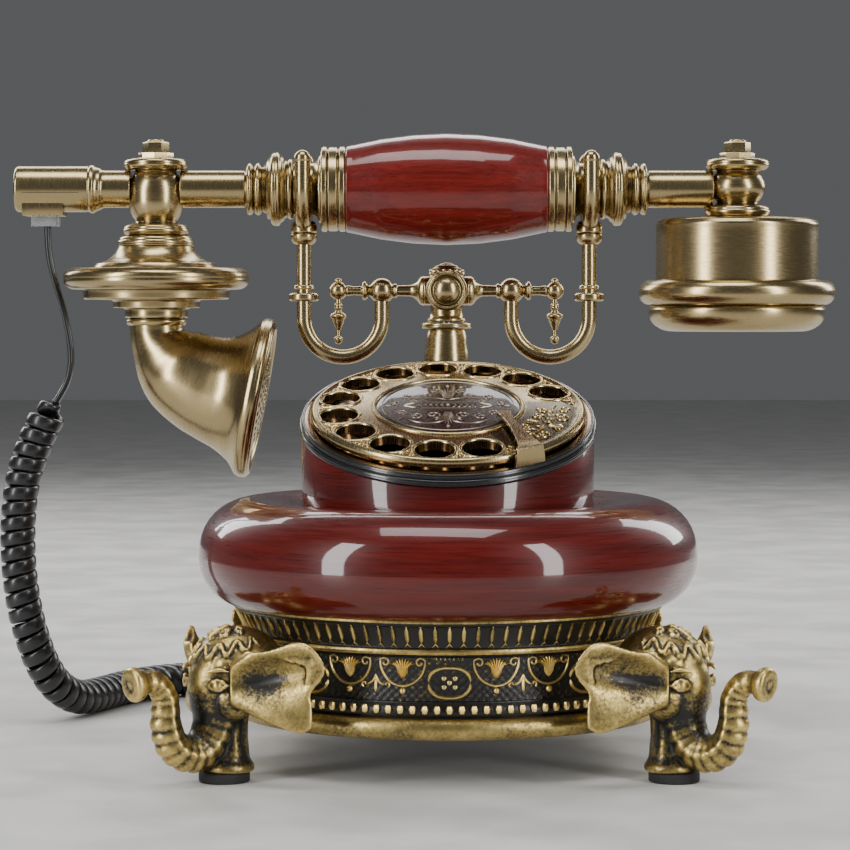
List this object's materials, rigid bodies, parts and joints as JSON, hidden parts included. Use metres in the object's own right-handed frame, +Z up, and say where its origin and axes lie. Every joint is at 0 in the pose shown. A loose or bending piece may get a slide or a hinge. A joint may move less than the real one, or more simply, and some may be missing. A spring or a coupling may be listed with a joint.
{
  "type": "rotary telephone",
  "caption": "Antique-style rotary telephone: slanted dial on a round lacquered body, elephant feet, and a brass handset with horn mouthpiece in a forked cradle.",
  "frame": {"origin": "middle of the table plane under the feet, on the axis of the round base", "axes": "+X towards the receiver, -Y towards the person dialling, +Z up"},
  "size_m": [0.3282, 0.2641, 0.2339],
  "materials": {
    "antiqued_resin": "gold paint over black, rubbed back",
    "antique_brass": "brushed and toned antique brass, satin lacquer",
    "red_lacquer": "deep gloss lacquer",
    "red_lacquer_wood": "gloss mahogany lacquer over wood grain",
    "black_moulding": "semi gloss",
    "copper_plate": "polished",
    "maroon_enamel": "satin with a silvered relief",
    "steel_plate": "zinc plated",
    "gear_brass": "machined",
    "spring_steel": "bright",
    "rubber_pad": "matt",
    "board_green": "solder mask",
    "brass_dark": "stamped",
    "clear_plug": "clear",
    "cord_black": "satin sheath"
  },
  "bodies": {
    "base": {"base_plug": "clear_plug", "bottom_plate": "steel_plate", "bottom_screws": "steel_plate", "circuit_board": "board_green", "cord_coil": "cord_black", "cord_lead": "cord_black", "cord_tail": "cord_black", "dial_frame": "steel_plate", "dial_trim_ring": "black_moulding", "elephant_foot_front_left": "antiqued_resin", "elephant_foot_front_right": "antiqued_resin", "elephant_foot_rear_left": "antiqued_resin", "elephant_foot_rear_right": "antiqued_resin", "finger_stop": "antique_brass", "foot_pads": "rubber_pad", "hook_switch": "black_moulding", "number_plate": "copper_plate", "pedestal": "red_lacquer", "plinth_casting": "antiqued_resin", "post": "antique_brass", "rear_jack": "black_moulding", "return_spring": "spring_steel", "ring_body": "red_lacquer", "ringer": "brass_dark", "screw_bosses": "black_moulding"},
    "dial": {"finger_wheel": "antique_brass", "medallion": "maroon_enamel", "medallion_rim": "antique_brass", "dial_shaft": "steel_plate", "main_gear": "gear_brass"},
    "governor": {"governor_spindle": "gear_brass"},
    "cradle": {"crosshead": "antique_brass", "cradle_boss": "antique_brass", "cradle_crown": "antique_brass", "hook_plunger": "steel_plate", "cradle_arm_left": "antique_brass", "cradle_arm_right": "antique_brass", "cradle_fork_left": "antique_brass", "cradle_fork_right": "antique_brass", "hook_spring": "spring_steel"},
    "handset": {"elbow_left": "antique_brass", "elbow_right": "antique_brass", "end_cap": "antique_brass", "grip_collar_left": "antique_brass", "grip_collar_right": "antique_brass", "handset_grip": "red_lacquer_wood", "handset_plug": "clear_plug", "horn_rim": "antique_brass", "microphone_capsule": "black_moulding", "mouthpiece_flange": "antique_brass", "mouthpiece_grille": "antique_brass", "mouthpiece_horn": "antique_brass", "neck_left": "antique_brass", "neck_right": "antique_brass", "receiver_cap": "antique_brass", "receiver_cup": "antique_brass", "receiver_ring": "antique_brass", "speaker_capsule": "black_moulding", "top_nut_left": "antique_brass", "top_nut_right": "antique_brass"}
  },
  "joints": [
    {"name": "dial_turn", "type": "hinge", "parent": "base", "child": "dial", "pos_m": [0, 0, 0.1216], "axis": [0, -0.3305, 0.9438], "range_deg": [-335, 0], "stiffness_Nm_per_rad": 0.003, "springref_deg": 34.38},
    {"name": "governor_spin", "type": "hinge", "parent": "base", "child": "governor", "pos_m": [0.0302, 0, 0.1216], "axis": [0, -0.3305, 0.9438], "range_deg": [-10, 1350]},
    {"name": "handset_lift", "type": "slide", "parent": "base", "child": "handset", "axis": [0, 0, 1], "range_m": [0, 0.12]},
    {"name": "hook_rise", "type": "slide", "parent": "base", "child": "cradle", "axis": [0, 0, 1], "range_m": [0, 0.004], "deforming": ["hook_spring"]}
  ],
  "couplings": [
    {"joint": "governor_spin", "follows": "dial_turn", "ratio": -4},
    {"joint": "hook_rise", "follows": "handset_lift", "ratio": 0.033333}
  ]
}
